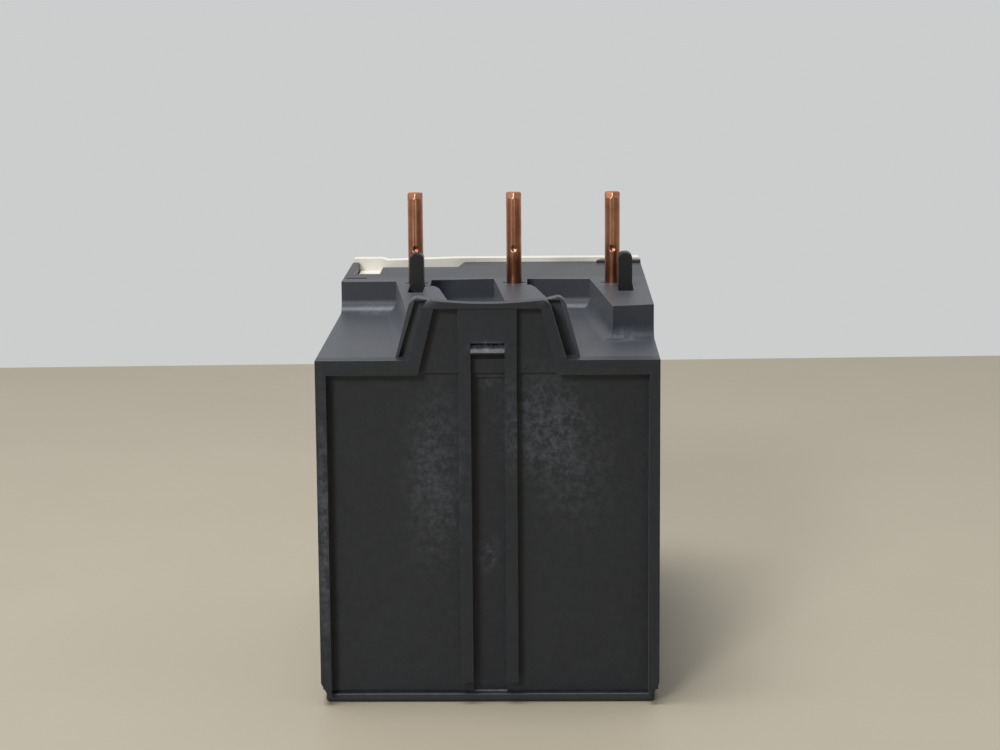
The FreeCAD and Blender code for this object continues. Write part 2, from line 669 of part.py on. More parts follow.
def trip_train():
    """Slides, levers and carrier that carry the bimetals' push to the contacts."""
    slide = Piece("trip_slide")
    bar = rectangle("-16", "16.55", "2.0", "4.4")
    arm = rectangle("14.8", "16.55", "-16.2", "2.1")
    slide.pad("XY", "38.2", "2.0", 1, [bar])
    slide.pad("XY", "38.2", "2.0", 1, [arm])
    fingers = [rectangle(f"{pole_x(pole)} + 0.7", f"{pole_x(pole)} + 2.0", "4.3", "12") for pole in POLES]
    slide.pad("XY", "38.2", "2.0", 1, fingers)

    differential = Piece("differential_slide")
    differential.pad("XY", "41.0", "1.6", 1, [rectangle("-18", "16.2", "2.0", "4.4")])
    links = [rectangle(f"{pole_x(pole)} - 2.0", f"{pole_x(pole)} - 0.7", "4.3", "12") for pole in POLES]
    differential.pad("XY", "41.0", "1.6", 1, links)
    drops = [rectangle(f"{pole_x(pole)} - 2.0", f"{pole_x(pole)} - 0.7", "9", "12") for pole in POLES]
    differential.pad("XY", "38.2", "2.9", 1, drops)

    link = Piece("differential_lever")
    link.pad("XY", "38.3", "4.2", 1, [rectangle("16.75", "17.75", "2.2", "4.2")])

    lever = Piece("trip_lever")
    plate = [
        ("17.0", "-14.5"), ("16.3", "-19.5"), ("15.9", "-22.0"), ("13.5", "-24.4"), ("13.5", "-25.9"),
        ("16.6", "-27.1"), ("18.4", "-27.1"), ("18.7", "-19.5"), ("18.0", "-14.5"),
    ]
    lever.pad("XY", "42.2", "1.3", 1, [plate])
    lever.pad("XY", "42.3", "4.3", -1, circles=[("17.5", "-15.0", "0.7"), ("14.3", "-25.1", "0.7")])
    lever.pad("XY", "43.4", "1.8", 1, circles=[("17.5", "-26.3", "0.6")])
    lever.cut("XY", "42.0", "2", 1, circles=[("17.5", "-19.5", "0.8 + running")])

    pivot = Piece("pivot_pin", at=("17.5", "-19.5", "0"))
    pivot.revolve("XZ", [
        ("0", "40.9"), ("1.4", "40.9"), ("1.4", "42.1"), ("0.8", "42.1"), ("0.8", "47.5"), ("0", "47.5"),
    ], axis="V_Axis")

    carrier = Piece("contact_carrier")
    carrier.pad("XY", "36", "5", 1, [rectangle("-15.8", "15.8", "-24.2", "-22.2")])
    carrier.pad("XY", "36", "2", 1, [rectangle("-19", "19", "-24.2", "-22.2")])
    posts = [rectangle("-11.8", "-8.8", "-23.85", "-22.6"), rectangle("8.8", "11.8", "-23.85", "-22.6")]
    carrier.pad("XY", "32.6", "3.5", 1, posts)
    contact_bridge("bridge_no", (-1.5, -0.5), "-23.85", 1)
    contact_bridge("bridge_nc", (0.5, 1.5), "-24.25", -1)

    flag = Piece("trip_flag")
    flag.pad("XZ", "-31.8", "0.6", -1, [rectangle("13.1", "19.0", "43.3", "45.6")])
    flag.pad("XY", "43.7", "1.5", 1, [rectangle("16.0", "19.0", "-31.9", "-24.2")])
    flag.cut("XY", "43.6", "2", 1, [rectangle("16.7", "18.3", "-27.6", "-24.8")])


CAM_STEPS = 9


def setting_parts():
    """Setting dial with a spiral cam, and the compensating strip that the cam shifts."""
    dial = Piece("current_dial", at=(DIAL_PLACE[0], "0", DIAL_PLACE[1]))
    dial.revolve("YZ", [
        ("-33.8", "0"), ("-33.8", "4.7"), ("-33.5", "5.0"), ("-32.5", "5.0"), ("-32.5", "5.8"),
        ("-31.7", "5.8"), ("-31.7", "2.0"), ("-26.8", "2.0"), ("-26.8", "0"),
    ])
    cam = []
    for step in range(CAM_STEPS + 1):
        angle = math.radians(270 * step / CAM_STEPS)
        radius = 2.3 + 0.9 * step / CAM_STEPS
        cam.append((f"{radius * math.cos(angle):.4f}", f"{radius * math.sin(angle):.4f}"))
    dial.pad("XZ", "-29.0", "1.5", -1, [cam])
    dial.cut("XZ", "-33.8", "0.9", 1, [rectangle("-0.6", "0.6", "-3.6", "3.6")])

    strip = Piece("setting_lever")
    strip.pad("XZ", "-29.3", "0.8", -1, [rectangle("-9.4", "13.0", "40.0", "41.8")])
    strip.pad("YZ", "12.0", "1.0", 1, [rectangle("-29.4", "-27.6", "40.0", "41.8")])


def button(label, x, z):
    """Round push button with a flange that holds it behind the front plate."""
    piece = Piece(label, at=(x, "0", z))
    piece.revolve("YZ", [
        ("-34.9", "0"), ("-34.9", "2.9"), ("-34.6", "3.2"), ("-32.5", "3.2"),
        ("-32.5", "3.8"), ("-31.9", "3.8"), ("-31.9", "1.2"), ("-26.2", "1.2"), ("-26.2", "0"),
    ])


def button_spring(label, x, z):
    """Coil spring between a button's flange and the guide wall."""
    piece = Piece(label, at=(x, "-31.65", z))
    sketch = piece.sketch("YZ", "0")
    piece._circle(sketch, "0", "2.0", "0.22")
    coil = piece.body.newObject("PartDesign::AdditiveHelix", f"{label}_coil")
    coil.Profile = sketch
    coil.ReferenceAxis = (sketch, ["H_Axis"])
    coil.Mode = 0
    coil.Pitch = 0.95
    coil.Height = 3.8
    coil.Growth = 0
    doc.recompute()


def front_controls():
    for label, (x, z) in BUTTONS.items():
        button(label, x, z)
        button_spring(label.replace("button", "spring"), x, z)
    test = Piece("test_button", at=(TEST_PLACE[0], "0", TEST_PLACE[1]))
    test.revolve("YZ", [
        ("-33.8", "0"), ("-33.8", "1.3"), ("-32.5", "1.3"), ("-32.5", "1.8"), ("-31.9", "1.8"),
        ("-31.9", "0.8"), ("-26.3", "0.8"), ("-26.3", "0"),
    ])
    selector = Piece("reset_selector", at=(SELECTOR_PLACE[0], "0", SELECTOR_PLACE[1]))
    selector.revolve("YZ", [
        ("-33.8", "0"), ("-33.8", "2.4"), ("-32.5", "2.4"), ("-32.5", "3.0"), ("-31.9", "3.0"),
        ("-31.9", "1.0"), ("-26.8", "1.0"), ("-26.8", "0"),
    ])
    selector.cut("XZ", "-33.8", "0.8", 1, [rectangle("-0.5", "0.5", "-1.8", "1.8")])


def window_parts():
    """Transparent sealing cover, hinged on a wire pin along its upper edge."""
    cover = Piece("window_cover")
    pane = rectangle("-20.6", "1.6", "32.7", "48.9")
    cover.pad("XZ", "-34.05", "0.85", -1, [pane])
    web = rectangle("-34.75", "-34.1", "48.8", HINGE_Z)
    knuckle = [(HINGE_Y, HINGE_Z, "0.6")]
    cover.pad("YZ", "-20.6", "22.2", 1, [web])
    cover.pad("YZ", "-20.6", "22.2", 1, circles=knuckle)
    cover.cut("YZ", "-20.7", "22.4", 1, circles=[(HINGE_Y, HINGE_Z, "0.3 + running")])
    lip = rectangle("-13.0", "-6.0", "32.7", "33.5")
    cover.cut("XZ", "-35.0", "0.5", 1, [lip])

    pin = Piece("hinge_pin")
    pin.pad("YZ", "-21.7", "24.4", 1, circles=[(HINGE_Y, HINGE_Z, "0.3")])


rear_cover()
case()
bottom_plate()
front_housing()
faceplate()
mounting_tab("hook_left", "left_tab")
mounting_tab("hook_right", "right_tab")
for pole in POLES:
    contact_pin(pole)
    pole_parts(pole)
    clamp_and_screw("main", pole + 2, pole_x(pole), "main_screw_height", "main_plate_front", MAIN_SIZES)
for number, place in enumerate(CONTROL_ROW, start=1):
    control_plate(number, place)
    clamp_and_screw("control", number, control_x(place), "control_screw_height",
                    "control_plate_front", CONTROL_SIZES)
trip_train()
setting_parts()
front_controls()
window_parts()
doc.recompute()

for item in doc.Objects:
    if "Invalid" in item.State or "Error" in item.State:
        raise RuntimeError(f"{item.Label} failed: {item.State}")
os.makedirs("parts", exist_ok=True)
for body in PIECES:
    shape = body.Shape
    if shape.isNull() or not shape.isValid():
        raise RuntimeError(f"{body.Label} has no valid shape")
    shape.exportStep(f"parts/{body.Label}.step")
print(len(PIECES), "pieces")
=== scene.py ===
"""Finishes, detailed pieces, stage and camera for a plug-on thermal overload relay.

The relay stands on its base strip with its moulded back towards the camera. +Z is up, the
operator's side faces -Y and the back faces +Y. Lengths are in metres unless a name ends in _mm.
"""

from __future__ import annotations

import logging
import math
from dataclasses import dataclass, field
from enum import Enum

import bmesh
import bpy
from mathutils import Matrix, Vector

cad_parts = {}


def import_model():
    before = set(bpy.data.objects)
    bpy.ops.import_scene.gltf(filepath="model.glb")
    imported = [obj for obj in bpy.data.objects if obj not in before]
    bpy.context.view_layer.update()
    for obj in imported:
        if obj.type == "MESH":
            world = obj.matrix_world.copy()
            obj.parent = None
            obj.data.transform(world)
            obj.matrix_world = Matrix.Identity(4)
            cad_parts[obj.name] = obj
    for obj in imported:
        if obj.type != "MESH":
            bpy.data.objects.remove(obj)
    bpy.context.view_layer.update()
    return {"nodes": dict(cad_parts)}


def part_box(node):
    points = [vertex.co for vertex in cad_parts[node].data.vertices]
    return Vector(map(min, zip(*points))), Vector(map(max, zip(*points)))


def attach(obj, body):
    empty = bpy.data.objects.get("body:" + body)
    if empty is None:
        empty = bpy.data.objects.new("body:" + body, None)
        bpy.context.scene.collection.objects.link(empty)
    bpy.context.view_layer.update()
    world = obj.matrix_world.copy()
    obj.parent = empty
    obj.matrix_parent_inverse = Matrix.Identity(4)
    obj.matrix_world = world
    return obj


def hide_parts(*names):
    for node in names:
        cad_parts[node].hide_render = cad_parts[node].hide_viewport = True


LOG = logging.getLogger("relay")
MM = 0.001
WELD_GAP = 1e-6
SHARP_ANGLE = math.radians(32)  # edges that turn more than this are broken


# ---------------------------------------------------------------- finishes


def linear(colour: str) -> tuple[float, float, float, float]:
    """Turn an sRGB hex colour into linear light.

    Args:
        colour: Six hex digits with a leading #.

    Returns:
        Red, green, blue and an alpha of 1.
    """
    parts = [int(colour[i : i + 2], 16) / 255 for i in (1, 3, 5)]
    red, green, blue = (c / 12.92 if c <= 0.04045 else ((c + 0.055) / 1.055) ** 2.4 for c in parts)
    return red, green, blue, 1.0


def add(
    tree: bpy.types.NodeTree,
    kind: str,
    settings: dict[str | int, object] | None = None,
    links: dict[str | int, bpy.types.NodeSocket] | None = None,
) -> bpy.types.Node:
    """Add one node with its settings and links.

    Args:
        tree: The node tree that gets the node.
        kind: Blender's name for the node, such as ShaderNodeMix.
        settings: Values for the node's properties and, where no property has the name, its inputs.
        links: Sockets that feed the node's inputs, by input name or number.

    Returns:
        The new node.
    """
    made = tree.nodes.new(kind)
    for name, value in (settings or {}).items():
        if isinstance(name, str) and hasattr(made, name):
            setattr(made, name, value)
        else:
            made.inputs[name].default_value = value
    for name, socket in (links or {}).items():
        tree.links.new(socket, made.inputs[name])
    return made


def new_material(name: str) -> tuple[bpy.types.Material, bpy.types.NodeTree]:
    """Start an empty node material.

    Args:
        name: Name of the real finish.

    Returns:
        The material and its node tree, with no nodes in it.
    """
    material = bpy.data.materials.new(name)
    material.use_nodes = True
    material.node_tree.nodes.clear()
    return material, material.node_tree


def millimetres(tree: bpy.types.NodeTree) -> bpy.types.NodeSocket:
    """Give the object's own coordinates in millimetres.

    Args:
        tree: The material's node tree.

    Returns:
        A vector socket.
    """
    place = add(tree, "ShaderNodeTexCoord")
    scaled = add(
        tree,
        "ShaderNodeVectorMath",
        {"operation": "SCALE", "Scale": 1 / MM},
        {0: place.outputs["Object"]},
    )
    return scaled.outputs["Vector"]


def close(tree: bpy.types.NodeTree, shader: bpy.types.Node) -> None:
    """Join a shader to a new output node.

    Args:
        tree: The material's node tree.
        shader: The last shader.
    """
    add(tree, "ShaderNodeOutputMaterial", None, {"Surface": shader.outputs[0]})


@dataclass(frozen=True)
class Rub:
    """A place with pale marks on a moulding: some are handling marks, some are painted highlights where light
    catches the surface.
    """

    centre_mm: tuple[float, float, float]
    reach_mm: tuple[float, float, float]
    strength: float


@dataclass(frozen=True)
class MouldedPolyamide:
    """Glass-filled polyamide 66 from a spark-eroded mould: an even matt grain that greys where hands and
    tools scuff it, with pale marks that also serve as painted highlights.
    """

    name: str
    colour: str
    # Pale colour for scuffs and dust, also used as painted highlight on the edges, the catch's ramp and the
    # deck's fillets.
    rubbed: str
    roughness: float = 0.42
    sheen: float = 0.04
    ior: float = 1.48
    grain_mm: float = 0.22  # real grain is near 0.05 mm, drawn coarser so that it shows
    grain_depth: float = 0.10
    cloud_mm: float = 9.0
    cloud_depth: float = 0.10
    haze: float = 0.035
    dust_per_mm: float = 0.9
    scratch_per_mm: tuple[float, float, float] = (5.0, 5.0, 0.5)  # long one way, as hands and tools slide
    scratch_slant: float = math.radians(28)
    # Pale marks at given places: handling marks, and painted highlights.
    rubs: tuple[Rub, ...] = ()

    def build(self, edge_wear_and_highlight: float = 0.0) -> bpy.types.Material:
        """Make the material.

        Args:
            edge_wear_and_highlight: Share of the pale colour laid over everything, for the mould's edges,
                which stands for edge wear and for painted highlight along them.

        Returns:
            The material.
        """
        # The edge copy is paler: partly edge wear, partly a painted highlight along the rounded edges.
        material, tree = new_material(self.name if edge_wear_and_highlight == 0 else f"{self.name}, edge wear and painted highlight")
        spot = millimetres(tree)
        cloud = add(tree, "ShaderNodeTexNoise", {"Scale": 1 / self.cloud_mm, "Detail": 3.0}, {"Vector": spot})
        grain = add(tree, "ShaderNodeTexNoise", {"Scale": 1 / self.grain_mm, "Detail": 2.0}, {"Vector": spot})
        shade = add(
            tree,
            "ShaderNodeMapRange",
            {
                "From Min": 0.3,
                "From Max": 0.7,
                "To Min": 1 - self.cloud_depth,
                "To Max": 1 + self.cloud_depth,
            },
            {"Value": cloud.outputs["Fac"]},
        )
        base = add(
            tree,
            "ShaderNodeVectorMath",
            {"operation": "SCALE", 0: linear(self.colour)[:3]},
            {"Scale": shade.outputs["Result"]},
        )
        marks = self._marks(tree, spot, edge_wear_and_highlight)
        colour = add(
            tree,
            "ShaderNodeMix",
            {"data_type": "RGBA", "B": linear(self.rubbed)},
            {"Factor": marks, "A": base.outputs["Vector"]},
        )
        rough = add(
            tree,
            "ShaderNodeMapRange",
            {"To Min": self.roughness - 0.05, "To Max": self.roughness + 0.08},
            {"Value": grain.outputs["Fac"]},
        )
        bump = add(
            tree,
            "ShaderNodeBump",
            {"Strength": self.grain_depth, "Distance": 0.03 * MM},
            {"Height": grain.outputs["Fac"]},
        )
        shader = add(
            tree,
            "ShaderNodeBsdfPrincipled",
            {"IOR": self.ior, "Sheen Weight": self.sheen, "Sheen Roughness": 0.4},
            {
                "Base Color": colour.outputs["Result"],
                "Roughness": rough.outputs["Result"],
                "Normal": bump.outputs["Normal"],
            },
        )
        close(tree, shader)
        return material

    def _marks(
        self, tree: bpy.types.NodeTree, spot: bpy.types.NodeSocket, edge_wear_and_highlight: float
    ) -> bpy.types.NodeSocket:
        """Lay out how pale each place is, from scuffs, dust and painted highlights.

        Args:
            tree: The material's node tree.
            spot: Place in millimetres.
            edge_wear_and_highlight: Share of pale colour laid over everything, for edge wear and painted edge
                highlight.

        Returns:
            A value socket from 0 to 1.
        """
        dust = add(
            tree,
            "ShaderNodeTexNoise",
            {"Scale": self.dust_per_mm, "Detail": 8.0, "Roughness": 0.8, "Distortion": 0.15},
            {"Vector": spot},
        )
        slant = add(
            tree,
            "ShaderNodeMapping",
            {"Rotation": (0.0, self.scratch_slant, 0.0), "Scale": self.scratch_per_mm},
            {"Vector": spot},
        )
        scratch = add(
            tree,
            "ShaderNodeTexNoise",
            {"Scale": 1.0, "Detail": 4.0, "Roughness": 0.7},
            {"Vector": slant.outputs["Vector"]},
        )
        flecks = add(
            tree,
            "ShaderNodeMapRange",
            {"From Min": 0.56, "From Max": 0.78},
            {"Value": scratch.outputs["Fac"]},
        )
        patches = add(
            tree,
            "ShaderNodeMapRange",
            {"From Min": 0.42, "From Max": 0.75},
            {"Value": dust.outputs["Fac"]},
        )
        both = add(
            tree,
            "ShaderNodeMath",
            {"operation": "MAXIMUM"},
            {0: flecks.outputs["Result"], 1: patches.outputs["Result"]},
        )
        film = add(tree, "ShaderNodeMath", {"operation": "MULTIPLY", 1: self.haze}, {0: both.outputs[0]})
        amount = film.outputs[0]
        for pale_mark in self.rubs:
            away = add(
                tree,
                "ShaderNodeVectorMath",
                {"operation": "SUBTRACT", 1: pale_mark.centre_mm},
                {0: spot},
            )
            share = add(
                tree,
                "ShaderNodeVectorMath",
                {"operation": "DIVIDE", 1: pale_mark.reach_mm},
                {0: away.outputs["Vector"]},
            )
            far = add(tree, "ShaderNodeVectorMath", {"operation": "LENGTH"}, {0: share.outputs["Vector"]})
            near = add(
                tree,
                "ShaderNodeMapRange",
                {
                    "interpolation_type": "SMOOTHSTEP",
                    "From Min": 1.0,
                    "From Max": 0.0,
                    "To Max": pale_mark.strength,
                },
                {"Value": far.outputs["Value"]},
            )
            here = add(
                tree,
                "ShaderNodeMath",
                {"operation": "MULTIPLY"},
                {0: near.outputs["Result"], 1: both.outputs[0]},
            )
            summed = add(tree, "ShaderNodeMath", {"operation": "ADD"}, {0: amount, 1: here.outputs[0]})
            amount = summed.outputs[0]
        # Pale patches over the whole material, used on the rounded edges: edge wear, and painted highlight
        # where the edges catch the light.
        if edge_wear_and_highlight > 0:
            broken = add(
                tree,
                "ShaderNodeMapRange",
                {"From Min": 0.35, "From Max": 0.65, "To Max": edge_wear_and_highlight},
                {"Value": dust.outputs["Fac"]},
            )
            summed = add(
                tree,
                "ShaderNodeMath",
                {"operation": "ADD", "use_clamp": True},
                {0: amount, 1: broken.outputs["Result"]},
            )
            amount = summed.outputs[0]
        return amount


@dataclass(frozen=True)
class PadPrintedInk(MouldedPolyamide):
    """Pad-printed ink: a thin even layer, duller than the plastic under it."""


@dataclass(frozen=True)
class DrawnCopper:
    """Drawn copper rod, bare: die lines run along it, and handling tarnishes it in soft brown patches."""

    name: str = "drawn copper"
    bright: str = "#D59A7C"
    tarnished: str = "#8A5640"
    roughness: float = 0.30
    line_mm: float = 0.16
    foot_bright_mm: float = 57.0  # above this height the rod is bright; it darkens down to foot_dark_mm
    foot_dark_mm: float = 53.0

    def build(self) -> bpy.types.Material:
        """Make the material.

        Returns:
            The material.
        """
        material, tree = new_material(self.name)
        spot = millimetres(tree)
        drawn = add(tree, "ShaderNodeMapping", {"Scale": (1.0, 1.0, 0.03)}, {"Vector": spot})
        lines = add(
            tree,
            "ShaderNodeTexNoise",
            {"Scale": 1 / self.line_mm, "Detail": 3.0},
            {"Vector": drawn.outputs["Vector"]},
        )
        patches = add(
            tree,
            "ShaderNodeTexNoise",
            {"Scale": 0.35, "Detail": 4.0, "Roughness": 0.6},
            {"Vector": spot},
        )
        height = add(tree, "ShaderNodeSeparateXYZ", None, {0: spot})
        foot = add(
            tree,
            "ShaderNodeMapRange",
            {
                "interpolation_type": "SMOOTHSTEP",
                "From Min": self.foot_bright_mm,
                "From Max": self.foot_dark_mm,
                "To Max": 0.5,
            },
            {"Value": height.outputs["Z"]},
        )
        brown = add(
            tree,
            "ShaderNodeMapRange",
            {"From Min": 0.35, "From Max": 0.7, "To Max": 0.55},
            {"Value": patches.outputs["Fac"]},
        )
        streak = add(
            tree,
            "ShaderNodeMapRange",
            {"From Min": 0.4, "From Max": 0.7, "To Max": 0.35},
            {"Value": lines.outputs["Fac"]},
        )
        total = add(
            tree,
            "ShaderNodeMath",
            {"operation": "ADD"},
            {0: foot.outputs["Result"], 1: brown.outputs["Result"]},
        )
        total = add(
            tree,
            "ShaderNodeMath",
            {"operation": "ADD", "use_clamp": True},
            {0: total.outputs[0], 1: streak.outputs["Result"]},
        )
        colour = add(
            tree,
            "ShaderNodeMix",
            {"data_type": "RGBA", "A": linear(self.bright), "B": linear(self.tarnished)},
            {"Factor": total.outputs[0]},
        )
        rough = add(
            tree,
            "ShaderNodeMapRange",
            {"To Min": self.roughness - 0.06, "To Max": self.roughness + 0.16},
            {"Value": patches.outputs["Fac"]},
        )
        bump = add(
            tree,
            "ShaderNodeBump",
            {"Strength": 0.25, "Distance": 0.02 * MM},
            {"Height": lines.outputs["Fac"]},
        )
        shader = add(
            tree,
            "ShaderNodeBsdfPrincipled",
            {"Metallic": 1.0},
            {
                "Base Color": colour.outputs["Result"],
                "Roughness": rough.outputs["Result"],
                "Normal": bump.outputs["Normal"],
            },
        )
        close(tree, shader)
        return material


@dataclass(frozen=True)
class WorkedMetal:
    """Plated or rolled metal: fine one-way lines and slightly uneven brightness."""

    name: str
    colour: str
    shade: str
    roughness: float = 0.32
    line_mm: float = 0.2
    stretch: tuple[float, float, float] = (1.0, 0.1, 1.0)

    def build(self) -> bpy.types.Material:
        """Make the material.

        Returns:
            The material.
        """
        material, tree = new_material(self.name)
        spot = millimetres(tree)
        rolled = add(tree, "ShaderNodeMapping", {"Scale": self.stretch}, {"Vector": spot})
        lines = add(
            tree,
            "ShaderNodeTexNoise",
            {"Scale": 1 / self.line_mm, "Detail": 2.0},
            {"Vector": rolled.outputs["Vector"]},
        )
        cloud = add(tree, "ShaderNodeTexNoise", {"Scale": 0.4, "Detail": 4.0}, {"Vector": spot})
        colour = add(
            tree,
            "ShaderNodeMix",
            {"data_type": "RGBA", "A": linear(self.colour), "B": linear(self.shade)},
            {"Factor": cloud.outputs["Fac"]},
        )
        rough = add(
            tree,
            "ShaderNodeMapRange",
            {"To Min": self.roughness - 0.08, "To Max": self.roughness + 0.12},
            {"Value": lines.outputs["Fac"]},
        )
        bump = add(
            tree,
            "ShaderNodeBump",
            {"Strength": 0.2, "Distance": 0.02 * MM},
            {"Height": lines.outputs["Fac"]},
        )
        shader = add(
            tree,
            "ShaderNodeBsdfPrincipled",
            {"Metallic": 1.0},
            {
                "Base Color": colour.outputs["Result"],
                "Roughness": rough.outputs["Result"],
                "Normal": bump.outputs["Normal"],
            },
        )
        close(tree, shader)
        return material


@dataclass(frozen=True)
class ClearPolycarbonate:
    """Clear moulded polycarbonate, 0.8 mm thick: it shows what is behind it, with faint wipe marks."""

    name: str = "clear polycarbonate"
    tint: str = "#FDFDFD"
    roughness: float = 0.08
    clearness: float = 0.93

    def build(self) -> bpy.types.Material:
        """Make the material.

        Returns:
            The material.
        """
        material, tree = new_material(self.name)
        spot = millimetres(tree)
        wiped = add(tree, "ShaderNodeTexNoise", {"Scale": 0.3, "Detail": 5.0}, {"Vector": spot})
        rough = add(
            tree,
            "ShaderNodeMapRange",
            {"To Min": self.roughness - 0.03, "To Max": self.roughness + 0.1},
            {"Value": wiped.outputs["Fac"]},
        )
        surface = add(
            tree,
            "ShaderNodeBsdfPrincipled",
            {"Base Color": linear(self.tint), "IOR": 1.58},
            {"Roughness": rough.outputs["Result"]},
        )
        through = add(tree, "ShaderNodeBsdfTransparent", {"Color": linear(self.tint)})
        mixed = add(
            tree,
            "ShaderNodeMixShader",
            {"Fac": 1 - self.clearness},
            {1: through.outputs[0], 2: surface.outputs[0]},
        )
        close(tree, mixed)
        return material


# Pale marks on the back cover: handling marks, and one painted highlight on the catch's ramp.
BACK_RUBS_AND_RAMP_HIGHLIGHT = (
    Rub((-7.0, 34.0, 38.0), (9.0, 9.0, 10.0), 0.30),
    Rub((-11.0, 34.0, 32.0), (8.0, 9.0, 12.0), 0.16),
    Rub((7.0, 34.0, 31.0), (6.0, 9.0, 17.0), 0.24),
    Rub((0.0, 33.0, 20.0), (2.5, 9.0, 4.0), 0.22),
    Rub((0.0, 33.0, 43.5), (2.5, 9.0, 1.8), 0.30),
    # Not a handling mark: painted highlight on the catch's ramp under the top plate, which overhead light
    # shows bright.
    Rub((0.0, 34.4, 48.3), (3.4, 2.0, 1.1), 0.9),
    Rub((21.7, 35.0, 24.0), (1.4, 4.0, 24.0), 0.45),
)
# Painted highlights on the concave fillets at the foot of the deck's rear-facing walls, where overhead light
# catches them.
DECK_FILLET_HIGHLIGHTS = (
    Rub((17.5, -7.5, 47.5), (4.5, 3.0, 2.0), 0.6),
    Rub((2.5, -8.5, 47.5), (4.0, 3.0, 2.0), 0.4),
    Rub((-9.0, -8.5, 47.5), (4.5, 3.5, 2.0), 0.6),
    Rub((-18.5, 18.5, 47.2), (4.0, 3.0, 2.0), 0.5),
)


class Finish(Enum):
    """Every finish on the relay."""

    # The back cover and the case are the same charcoal polyamide. The back cover's colour is set much darker
    # as painted shade on its upright faces, and the case's is set lighter as painted light on its deck.
    BACK = MouldedPolyamide("charcoal polyamide, back cover", "#0D131B", "#8A8E98", rubs=BACK_RUBS_AND_RAMP_HIGHLIGHT)
    CASE = MouldedPolyamide("charcoal polyamide, case", "#30343C", "#989CA3", rubs=DECK_FILLET_HIGHLIGHTS)
    FRONT = MouldedPolyamide("charcoal polyamide, front housing", "#1F2329", "#7E828A")
    BLACK = MouldedPolyamide("black polyamide", "#111114", "#4A4A4E", roughness=0.4)
    IVORY = MouldedPolyamide(
        "ivory polycarbonate, satin", "#DEDAD0", "#BDB8A9", roughness=0.38, cloud_depth=0.03, haze=0.05
    )
    RED = MouldedPolyamide(
        "red push button", "#B0211D", "#C9625C", roughness=0.34, haze=0.04, cloud_depth=0.03
    )
    BLUE = MouldedPolyamide(
        "blue push button", "#1D4F9C", "#6C8CC0", roughness=0.34, haze=0.04, cloud_depth=0.03
    )
    ORANGE = MouldedPolyamide("orange indicator flag", "#E0701A", "#E9A06A", roughness=0.4, haze=0.03)
    INK = PadPrintedInk(
        "black pad-printing ink", "#1B1C1F", "#4C4D50", roughness=0.5, haze=0.05, cloud_depth=0.03
    )
    COPPER = DrawnCopper()
    ZINC = WorkedMetal("zinc-plated steel", "#B9BAB6", "#8E8F8A")
    TINNED = WorkedMetal("tinned brass strip", "#C9BC98", "#A39470", roughness=0.35)
    BIMETAL = WorkedMetal("rolled bimetal strip", "#A9A59D", "#847F76", stretch=(1.0, 1.0, 0.08))
    WINDING = WorkedMetal("resistance strip winding", "#8C8378", "#5F574E", roughness=0.5)
    WIRE = WorkedMetal("bright spring wire", "#BEBEBC", "#8F8F8E", roughness=0.25)
    CLEAR = ClearPolycarbonate()


_MADE: dict[tuple[Finish, float], bpy.types.Material] = {}


def material_of(finish: Finish, edge_wear_and_highlight: float = 0.0) -> bpy.types.Material:
    """Give a finish's material, made once.

    Args:
        finish: The finish.
        edge_wear_and_highlight: Share of the pale colour, for a moulding's edges: edge wear and painted
            highlight.

    Returns:
        The material.
    """
    key = (finish, edge_wear_and_highlight)
    if key not in _MADE:
        _MADE[key] = finish.value.build(edge_wear_and_highlight) if edge_wear_and_highlight > 0 else finish.value.build()
    return _MADE[key]


# ---------------------------------------------------------------- mesh tools


def mesh_object(name: str, mesh: bmesh.types.BMesh, smooth: bool = True) -> bpy.types.Object:
    """Turn a bmesh into a linked object, and free it.

    Args:
        name: The piece's name.
        mesh: The mesh, in the row frame.
        smooth: Shade its faces smooth.

    Returns:
        The new object.
    """
    bmesh.ops.recalc_face_normals(mesh, faces=mesh.faces)
    data = bpy.data.meshes.new(name)
    mesh.to_mesh(data)
    mesh.free()
    for face in data.polygons:
        face.use_smooth = smooth
    piece = bpy.data.objects.new(name, data)
    bpy.context.scene.collection.objects.link(piece)
    return piece


@dataclass
class Subassembly:
    """What all sub-assemblies share: the frame, and a way to dress a CAD node."""

    nodes: dict[str, bpy.types.Object]

    def dress(self, node: str, finish: Finish, edge_mm: float = 0.12, edge_wear_and_highlight: float = 0.0) -> None:
        """Give a CAD node its finish and softened edges.

        Args:
            node: The node's name.
            finish: Its finish.
            edge_mm: Width of the broken edge; 0 leaves the node's edges as they are.
            edge_wear_and_highlight: Share of pale colour on the broken edges: edge wear and painted
                highlight.
        """
        piece = self.nodes[node]
        piece.data.materials.clear()
        piece.data.materials.append(material_of(finish))
        if edge_mm > 0:
            weld = piece.modifiers.new("weld", "WELD")
            weld.merge_threshold = WELD_GAP
            soften = piece.modifiers.new("broken edge", "BEVEL")
            soften.width = edge_mm * MM
            soften.segments = 2
            soften.limit_method = "ANGLE"
            soften.angle_limit = SHARP_ANGLE
            soften.harden_normals = False
            soften.miter_outer = "MITER_ARC"
            # The broken edges get a paler copy of the finish: edge wear and painted highlight along them.
            if edge_wear_and_highlight > 0:
                piece.data.materials.append(material_of(finish, edge_wear_and_highlight))
                soften.material = 1
            even = piece.modifiers.new("even normals", "WEIGHTED_NORMAL")
            even.keep_sharp = False
            even.weight = 90
        LOG.info("dressed %s in %s", node, finish.value.name)


